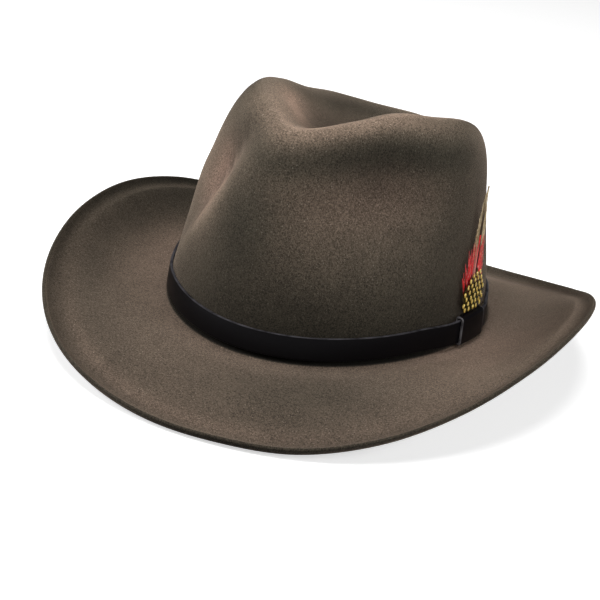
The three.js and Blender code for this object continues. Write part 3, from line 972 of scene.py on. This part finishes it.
print("the keeper's top is", round(KEEPER_TOP / MM, 2), "mm above the break")

# %% [markdown]
# ## Finishes
#
# Every finish is a small tree of noise and ramps on the object's own coordinates, so it stays
# put when the hat is seen from another side. Felt is matted wool: a fine worm-like grain about
# a millimetre across, a softer mottling over it, and a fuzz that catches light at grazing
# angles, which the shader's sheen stands for.


# %% Helpers for finishes
def new_finish(name, roughness, specular):
    """A material with its shader's constant numbers set, and the tree and shader to build on."""
    material = bpy.data.materials.new(name)
    material.use_nodes = True
    shader = material.node_tree.nodes["Principled BSDF"]
    shader.inputs["Roughness"].default_value = roughness
    shader.inputs["Specular IOR Level"].default_value = specular
    return material, material.node_tree, shader


def noise(tree, where, scale, detail=2.0, rough=0.5, twist=0.0):
    """A noise's value, with its scale in grains per metre."""
    return add(tree, "ShaderNodeTexNoise", {
        "Vector": where, "Scale": scale, "Detail": detail, "Roughness": rough,
        "Distortion": twist}).outputs["Fac"]


def blend(tree, share, first, second, **settings):
    """A colour between two, by a share."""
    node = add(tree, "ShaderNodeMix", {0: share, 6: first, 7: second}, data_type="RGBA", **settings)
    return node.outputs[2]


def ramp(tree, value, low, high):
    """A value stretched so that low becomes 0 and high becomes 1."""
    return add(tree, "ShaderNodeMapRange", {
        "Value": value, "From Min": low, "From Max": high}).outputs[0]


def object_place(tree):
    """Where a point lies on the object."""
    return add(tree, "ShaderNodeTexCoord").outputs["Object"]


def number(tree, name):
    """A number that the mesh carries on its points."""
    return add(tree, "ShaderNodeAttribute", attribute_name=name).outputs["Fac"]


def paint(tree, shader, colour):
    """Gives the shader its colour."""
    tree.links.new(colour, shader.inputs["Base Color"])


def roughen(tree, shader, height, strength, depth):
    """Bumps the surface by a height that the tree works out."""
    bump = add(tree, "ShaderNodeBump", {"Strength": strength, "Distance": depth, "Height": height})
    tree.links.new(bump.outputs[0], shader.inputs["Normal"])


# %% [markdown]
# The felt's colour is worked out in three steps. Grain, mottle and a few pale specks make an even
# felt. A painted highlight then makes its ridges and swells paler, and painted shade its hollows
# darker. Last come the painted light and shade from the two tables, as a power of two, with a little
# more green where the felt is painted dark.

# %% The felt's finish
FELT_DARK = (0.036, 0.029, 0.022, 1)
FELT_LIGHT = (0.118, 0.092, 0.069, 1)
FELT_SPECK = (0.230, 0.190, 0.150, 1)
FELT_GRAIN = 1250
FELT_SPECKS = 1500
FELT_MOTTLE = 55
MOTTLE_WEIGHT = 0.12
GRAIN_RANGE = (0.46, 0.67)
SPECK_RANGE = (0.68, 0.76)
RIDGE_RANGE = (-2.0, 2.0)
SWELL_RANGE = (-8.0, 8.0)
RIDGE_WEIGHT = 1.2
PAINTED_LIGHT_RANGE = (0.2, 2.0)
PAINTED_HOLLOW_SHADE = (0.26, 0.275, 0.29, 1)
PAINTED_HIGHLIGHT = (2.50, 2.38, 2.34, 1)
# how the painted light and shade lean in colour: greener where painted dark
PAINTED_LIGHT_LEAN = (1.00, 0.88, 0.89)
FELT_BUMP = 0.5
FELT_BUMP_DEPTH = 0.5 * MM
SHEEN = {"Sheen Weight": 0.5, "Sheen Roughness": 0.4, "Sheen Tint": (0.80, 0.62, 0.48, 1)}


def felt_finish():
    """Matted wool: grain and mottle, a painted highlight on ridges, painted shade in hollows, and a
    fuzzy sheen.
    """
    material, tree, shader = new_finish("felt", roughness=0.95, specular=0.12)
    where = object_place(tree)
    grain = noise(tree, where, FELT_GRAIN, detail=3.0, rough=0.6, twist=1.2)
    mottle = noise(tree, where, FELT_MOTTLE, detail=3.0, rough=0.55)
    both = math_node(tree, "MULTIPLY_ADD", mottle, MOTTLE_WEIGHT, grain)
    even = blend(tree, ramp(tree, both, *GRAIN_RANGE), FELT_DARK, FELT_LIGHT)
    specks = ramp(tree, noise(tree, where, FELT_SPECKS, detail=1.0), *SPECK_RANGE)
    even = blend(tree, specks, even, FELT_SPECK)
    # painted highlight on ridges and swells, painted shade in hollows, by how proud the surface stands
    ridge = ramp(tree, number(tree, "ridge"), *RIDGE_RANGE)
    swell = ramp(tree, number(tree, "swell"), *SWELL_RANGE)
    painted_light_share = math_node(tree, "MULTIPLY_ADD", ridge, RIDGE_WEIGHT, swell)
    painted_light = blend(tree, ramp(tree, painted_light_share, *PAINTED_LIGHT_RANGE), PAINTED_HOLLOW_SHADE, PAINTED_HIGHLIGHT)
    toned = blend(tree, 1.0, even, painted_light, blend_type="MULTIPLY")
    # painted light and shade from the tables, as a power of two for each colour
    stops = number(tree, "painted_light")
    shares = [math_node(tree, "POWER", 2.0, math_node(tree, "MULTIPLY", stops, lean))
              for lean in PAINTED_LIGHT_LEAN]
    factor = add(tree, "ShaderNodeCombineXYZ", dict(enumerate(shares))).outputs[0]
    patched = add(tree, "ShaderNodeVectorMath", {0: toned, 1: factor}, operation="MULTIPLY")
    paint(tree, shader, patched.outputs[0])
    roughen(tree, shader, grain, FELT_BUMP, FELT_BUMP_DEPTH)
    for socket, value in SHEEN.items():
        shader.inputs[socket].default_value = value
    print(material.name, len(tree.nodes), "nodes")
    return material


felt.data.materials.append(felt_finish())

# %% [markdown]
# The leather is dyed black and finished smooth, so its colour hardly varies. What tells it from
# paint is the fine pebbled grain, the soft highlight, and the paler cut edge, which also carries a
# painted highlight: the band's along its top, the keeper's at its two ends.

# %% The leather's finishes
LEATHER_BLACK = (0.0032, 0.0027, 0.0036, 1)
# the cut edges' colours: partly the leather's own paler edge, partly a painted highlight
BAND_EDGE_AND_HIGHLIGHT = (0.055, 0.052, 0.058, 1)
KEEPER_EDGE_AND_HIGHLIGHT = (0.20, 0.19, 0.20, 1)
BAND_EDGE_RANGE = (0.965, 0.99)
KEEPER_EDGE_RANGE = (0.95, 0.99)
LEATHER_PEBBLES = 1500
LEATHER_WEAR = 140
WEAR_RANGE = (0.3, 0.6)
LEATHER_BUMP = 0.12
LEATHER_BUMP_DEPTH = 0.1 * MM


def leather_finish(name, measure, edge_range, edge_and_highlight_colour, roughness):
    """Smooth black leather with a paler cut edge and a painted highlight on it, where a number of the
    mesh is high.
    """
    material, tree, shader = new_finish(name, roughness, specular=0.10)
    where = object_place(tree)
    pebbles = add(tree, "ShaderNodeTexVoronoi", {"Vector": where, "Scale": LEATHER_PEBBLES})
    wear = ramp(tree, noise(tree, where, LEATHER_WEAR, detail=4.0, rough=0.6), *WEAR_RANGE)
    edge = ramp(tree, number(tree, measure), *edge_range)
    share = math_node(tree, "MULTIPLY", edge, wear)
    # the cut edge is painted paler, partly its own colour and partly a painted highlight
    paint(tree, shader, blend(tree, share, LEATHER_BLACK, edge_and_highlight_colour))
    roughen(tree, shader, pebbles.outputs["Distance"], LEATHER_BUMP, LEATHER_BUMP_DEPTH)
    print(name, len(tree.nodes), "nodes")
    return material


band.data.materials.append(
    leather_finish("band_leather", "height", BAND_EDGE_RANGE, BAND_EDGE_AND_HIGHLIGHT, roughness=0.45))
keeper.data.materials.append(
    leather_finish("keeper_leather", "end", KEEPER_EDGE_RANGE, KEEPER_EDGE_AND_HIGHLIGHT, roughness=0.4))

# %% [markdown]
# A feather's colours follow its own shape, so its finish reads the two numbers that the mesh kept
# from the flat feather: how far across the vane a point lies, and how far along. A coarse noise
# parts neighbouring barbs into paler and darker ones.

# %% The feathers' colours
BARB_GRAIN = 700
BARB_RANGE = (0.3, 0.7)
TAN_HEART = (0.045, 0.026, 0.012, 1)
TAN_CREAMS = ((0.42, 0.28, 0.13, 1), (0.90, 0.74, 0.48, 1))
TAN_EDGE_RANGE = (0.30, 0.55)
TAN_TIP_RANGE = (0.78, 0.92)
TAN_UNEVEN = 180
TAN_UNEVEN_WEIGHT = 0.3
REDS = ((0.62, 0.012, 0.016, 1), (1.0, 0.05, 0.05, 1))
RED_PALE = (0.90, 0.42, 0.38, 1)
RED_MIDDLE_RANGE = (0.30, 0.05)
RED_LOW_RANGE = (0.95, 0.45)
RED_STREAKS = 520
STREAK_RANGE = (0.56, 0.76)
GOLD_DARKS = ((0.012, 0.009, 0.003, 1), (0.075, 0.055, 0.012, 1))
SPOT_GOLDS = ((0.42, 0.22, 0.01, 1), (1.0, 0.76, 0.20, 1))
SPOT_GRAIN = 1100
SPOT_RANGE = (0.36, 0.60)


# %% The feathers' finishes
def barb_colour(tree, where, colours):
    """A paler or a darker colour for each few barbs."""
    shade = ramp(tree, noise(tree, where, BARB_GRAIN), *BARB_RANGE)
    return blend(tree, shade, *colours)


def tan_finish():
    """Cream barbs that are dark brown along the middle, up to the pale tip."""
    material, tree, shader = new_finish("tan_feather", roughness=0.7, specular=0.3)
    where = object_place(tree)
    across = math_node(tree, "ABSOLUTE", number(tree, "across"))
    uneven = noise(tree, where, TAN_UNEVEN)
    uneven = math_node(tree, "MULTIPLY_ADD", uneven, TAN_UNEVEN_WEIGHT, across)
    tip = ramp(tree, number(tree, "along"), *TAN_TIP_RANGE)
    edge = math_node(tree, "MAXIMUM", ramp(tree, uneven, *TAN_EDGE_RANGE), tip)
    paint(tree, shader, blend(tree, edge, TAN_HEART, barb_colour(tree, where, TAN_CREAMS)))
    return material


def red_finish():
    """Bright red barbs, paler in streaks and along the middle, where the shaft shows."""
    material, tree, shader = new_finish("red_feather", roughness=0.55, specular=0.4)
    where = object_place(tree)
    across = math_node(tree, "ABSOLUTE", number(tree, "across"))
    middle = ramp(tree, across, *RED_MIDDLE_RANGE)
    low = ramp(tree, number(tree, "along"), *RED_LOW_RANGE)
    streaks = ramp(tree, noise(tree, where, RED_STREAKS, detail=1.0), *STREAK_RANGE)
    pale = math_node(tree, "MULTIPLY", math_node(tree, "MAXIMUM", middle, streaks), low)
    paint(tree, shader, blend(tree, pale, barb_colour(tree, where, REDS), RED_PALE))
    return material


def gold_finish():
    """The dark olive vane under the drops."""
    material, tree, shader = new_finish("gold_feather", roughness=0.55, specular=0.4)
    paint(tree, shader, barb_colour(tree, object_place(tree), GOLD_DARKS))
    return material


def spot_finish():
    """Waxy pale gold, brown in places."""
    material, tree, shader = new_finish("gold_spots", roughness=0.28, specular=0.6)
    shade = noise(tree, object_place(tree), SPOT_GRAIN)
    paint(tree, shader, blend(tree, ramp(tree, shade, *SPOT_RANGE), *SPOT_GOLDS))
    return material


# %% Build the three feathers
def feather_piece(feather, material):
    """Makes a flat feather by its tree, and lays it on the crown."""
    tree = feather_tree(feather["name"] + "_barbs", OUTLINES[feather["outline"]])
    piece = run_group(feather["name"], tree, {
        "Length": feather["length"],
        "Half width": feather["width"] / 2,
        "Sweep": feather["sweep"],
        "Barbs": feather["barbs"],
        "Barb width": feather["barb_width"],
        "Thickness": BARB_THICKNESS,
        "Shaft radius": SHAFT_RADIUS,
        "Looseness": feather["looseness"],
        "Seed": feather["seed"],
        "Material": material,
    })
    lay_feather(piece, feather)
    return piece


tan_feather = feather_piece(TAN_FEATHER, tan_finish())
red_feather = feather_piece(RED_FEATHER, red_finish())
gold_feather = feather_piece(GOLD_FEATHER, gold_finish())

# %% [markdown]
# The outermost feather has bright waxy drops on its dark vane, in staggered rows. They are real
# raised drops here, placed on a grid by Geometry Nodes and kept only inside the outline, because
# a painted dot would have no highlight of its own. The grid starts a little above the feather's
# foot, so that no drop cuts into the keeper.

# %% The tree that makes the drops
SPOT_START = 1.8 * MM
SPOT_WANDER = 0.4 * MM
SPOT_MARGIN = 0.92
DROP_SEGMENTS = 10
DROP_RINGS = 6
SPOT_INPUTS = {
    "Length": "Float", "Start": "Float", "Half width": "Float", "Columns": "Int", "Rows": "Int",
    "Spot width": "Float", "Spot length": "Float", "Spot height": "Float", "Wander": "Float",
    "Seed": "Int", "Material": "Material"}


def staggered_grid(tree, given):
    """Points in rows, every other row half a step aside, each a little off its place."""
    width = math_node(tree, "MULTIPLY", given["Half width"], 2.0)
    span = math_node(tree, "SUBTRACT", given["Length"], given["Start"])
    grid = add(tree, "GeometryNodeMeshGrid", {
        "Size X": width, "Size Y": span, "Vertices X": given["Columns"],
        "Vertices Y": given["Rows"]})
    index = add(tree, "GeometryNodeInputIndex").outputs[0]
    row = math_node(tree, "MODULO", index, given["Rows"])
    odd = math_node(tree, "MODULO", row, 2.0)
    step = math_node(tree, "DIVIDE", width, math_node(tree, "SUBTRACT", given["Columns"], 1.0))
    shift = math_node(tree, "MULTIPLY", math_node(tree, "MULTIPLY", odd, step), 0.5)
    centre = math_node(tree, "MULTIPLY_ADD", span, 0.5, given["Start"])
    move = vector(tree, X=shift, Y=centre, Z=given["Spot height"])
    back = math_node(tree, "MULTIPLY", given["Wander"], -1.0)
    wander = add(tree, "FunctionNodeRandomValue", {
        "Min": vector(tree, X=back, Y=back), "Max": vector(tree, X=given["Wander"], Y=given["Wander"]),
        "Seed": given["Seed"]}, data_type="FLOAT_VECTOR")
    moved = add(tree, "ShaderNodeVectorMath", {0: move, 1: wander.outputs[0]}, operation="ADD")
    return add(tree, "GeometryNodeSetPosition", {
        "Geometry": grid.outputs[0], "Offset": moved.outputs[0]}).outputs[0]


def inside_outline(tree, given, outline):
    """Whether a point lies inside the feather's outline, with a margin."""
    place = add(tree, "GeometryNodeInputPosition")
    split = add(tree, "ShaderNodeSeparateXYZ", {0: place.outputs[0]}).outputs
    along = math_node(tree, "DIVIDE", split["Y"], given["Length"])
    reach = math_node(tree, "MULTIPLY", outline_share(tree, along, outline), given["Half width"])
    limit = math_node(tree, "MULTIPLY", reach, SPOT_MARGIN)
    away = math_node(tree, "ABSOLUTE", split["X"])
    return add(tree, "FunctionNodeCompare", {0: away, 1: limit}, operation="LESS_THAN",
               data_type="FLOAT").outputs[0]


def spots_tree(outline):
    """Geometry Nodes for staggered rows of drops inside a feather's outline."""
    tree, given = new_group("gold_spots", SPOT_INPUTS)
    drop = add(tree, "GeometryNodeMeshUVSphere", {
        "Segments": DROP_SEGMENTS, "Rings": DROP_RINGS, "Radius": 1.0})
    size = vector(tree, X=given["Spot width"], Y=given["Spot length"], Z=given["Spot height"])
    half_size = add(tree, "ShaderNodeVectorMath", {0: size, 1: (0.5, 0.5, 1)}, operation="MULTIPLY")
    copies = add(tree, "GeometryNodeInstanceOnPoints", {
        "Points": staggered_grid(tree, given), "Selection": inside_outline(tree, given, outline),
        "Instance": drop.outputs["Mesh"], "Scale": half_size.outputs[0]})
    end_group(tree, copies.outputs[0], given["Material"])
    return tree


# %% Build the drops
gold_spots = run_group("gold_spots", spots_tree(OUTLINES["leaf"]), {
    "Length": GOLD_FEATHER["length"],
    "Start": SPOT_START,
    "Half width": GOLD_FEATHER["width"] / 2,
    "Columns": 7,
    "Rows": 8,
    "Spot width": 2.0 * MM,
    "Spot length": 2.7 * MM,
    "Spot height": 0.5 * MM,
    "Wander": SPOT_WANDER,
    "Seed": 5,
    "Material": spot_finish(),
})
lay_feather(gold_spots, GOLD_FEATHER)

# %% [markdown]
# ## The pieces take their places
#
# Each piece rides on the hat's one body and hides the plain solid that it stands for. Each row
# also gives the slot of the record that its finish belongs to.

# %% Ride and replace
PLACES = [
    (felt, "felt_body", "felt"),
    (band, "hat_band", "band_leather"),
    (keeper, "band_keeper", "keeper_leather"),
    (tan_feather, "feather_tan", "tan_feather"),
    (red_feather, "feather_red", "red_feather"),
    (gold_feather, "feather_gold", "gold_feather"),
]
for piece, node, slot in PLACES:
    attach(piece, "root")
    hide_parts(node)
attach(gold_spots, "root")

# %% [markdown]
# ## Floor, light and camera
#
# The photo shows the hat on pure white, lit softly from all round and a little more from above
# and the left. A large pale floor stands for the white. It glows a little, so that the shadow on
# it stays faint, and it sends no light back up, because the photo's hat is dark underneath.

# %% The floor
FLOOR_HALF = 6.0
FLOOR_WHITE = (0.86, 0.86, 0.86, 1)
FLOOR_GLOW = 0.6
WHITE = (1, 1, 1, 1)


def pale_finish():
    """A plain pale floor that glows a little."""
    material, _, shader = new_finish("pale_floor", roughness=0.9, specular=0.1)
    shader.inputs["Base Color"].default_value = FLOOR_WHITE
    shader.inputs["Emission Color"].default_value = WHITE
    shader.inputs["Emission Strength"].default_value = FLOOR_GLOW
    return material


corners = [(-FLOOR_HALF, -FLOOR_HALF, 0), (FLOOR_HALF, -FLOOR_HALF, 0),
           (FLOOR_HALF, FLOOR_HALF, 0), (-FLOOR_HALF, FLOOR_HALF, 0)]
floor = mesh_piece("floor", corners, [(0, 1, 2, 3)], {})
floor.data.materials.append(pale_finish())
floor.visible_diffuse = False

# %% [markdown]
# The surroundings are white where the camera sees them, and nearly dark for everything else, so
# that the light comes from the soft boxes alone and keeps its direction. A Light Path node tells
# the two apart.

# %% The surroundings
SEEN_WHITE = 1.0
AMBIENT = 0.05
world = bpy.data.worlds.new("surroundings")
bpy.context.scene.world = world
world.use_nodes = True
sky = world.node_tree
dim = sky.nodes["Background"]
dim.inputs["Color"].default_value = WHITE
dim.inputs["Strength"].default_value = AMBIENT
bright = add(sky, "ShaderNodeBackground", {"Color": WHITE, "Strength": SEEN_WHITE})
seen = add(sky, "ShaderNodeLightPath").outputs["Is Camera Ray"]
either = add(sky, "ShaderNodeMixShader", {0: seen, 1: dim.outputs[0], 2: bright.outputs[0]})
sky.links.new(either.outputs[0], sky.nodes["World Output"].inputs["Surface"])
print("surroundings:", AMBIENT, "for the hat,", SEEN_WHITE, "for the camera")

# %% The soft boxes
AIM = Vector((0, 0, 60 * MM))
BOX_AWAY = 1.6
BOX_SIZE = 0.8
SOFT_BOXES = [
    {"name": "top", "azimuth": 0, "elevation": 76, "power": 17},
    {"name": "left", "azimuth": -60, "elevation": 25, "power": 15.5},
    {"name": "right", "azimuth": 90, "elevation": 28, "power": 11},
]


def direction(azimuth, elevation):
    """The way from the hat towards a place seen at an azimuth and an elevation."""
    turn, rise = math.radians(azimuth), math.radians(elevation)
    return Vector((math.sin(turn) * math.cos(rise), -math.cos(turn) * math.cos(rise),
                   math.sin(rise)))


for box in SOFT_BOXES:
    light = bpy.data.lights.new(box["name"], "AREA")
    light.shape = "DISK"
    light.size = BOX_SIZE
    light.energy = box["power"]
    lamp = bpy.data.objects.new(box["name"], light)
    way = direction(box["azimuth"], box["elevation"])
    lamp.location = AIM + way * BOX_AWAY
    lamp.rotation_euler = way.to_track_quat("Z", "Y").to_euler()
    bpy.context.scene.collection.objects.link(lamp)
    print(box["name"], "light,", box["power"], "W at", tuple(round(x, 2) for x in lamp.location))

# %% [markdown]
# The camera stands where the photo's stood, worked out from the outline of the brim and the two
# edges of the band: to the wearer's left of the front, a little above, and slightly rolled.

# %% The camera
VIEW_AZIMUTH = 27.915
VIEW_ELEVATION = 21.328
VIEW_ROLL = -8.929
VIEW_DISTANCE = 937 * MM
VIEW_LENS = 98.09
VIEW_ASIDE = -14.6 * MM
VIEW_HEIGHT = 16.75 * MM
FAR_CLIP = 50

turn = math.radians(VIEW_AZIMUTH)
aim = Vector((math.cos(turn) * VIEW_ASIDE, math.sin(turn) * VIEW_ASIDE, VIEW_HEIGHT))
way = direction(VIEW_AZIMUTH, VIEW_ELEVATION)
lens = bpy.data.cameras.new("camera")
lens.lens = VIEW_LENS
lens.clip_end = FAR_CLIP
camera = bpy.data.objects.new("camera", lens)
camera.location = aim + way * VIEW_DISTANCE
rolled = Matrix.Rotation(-math.radians(VIEW_ROLL), 3, "Z")
camera.rotation_euler = (way.to_track_quat("Z", "Y").to_matrix() @ rolled).to_euler()
bpy.context.scene.collection.objects.link(camera)
bpy.context.scene.camera = camera
bpy.context.scene.view_settings.view_transform = "Standard"
print("camera at", tuple(round(x, 3) for x in camera.location))
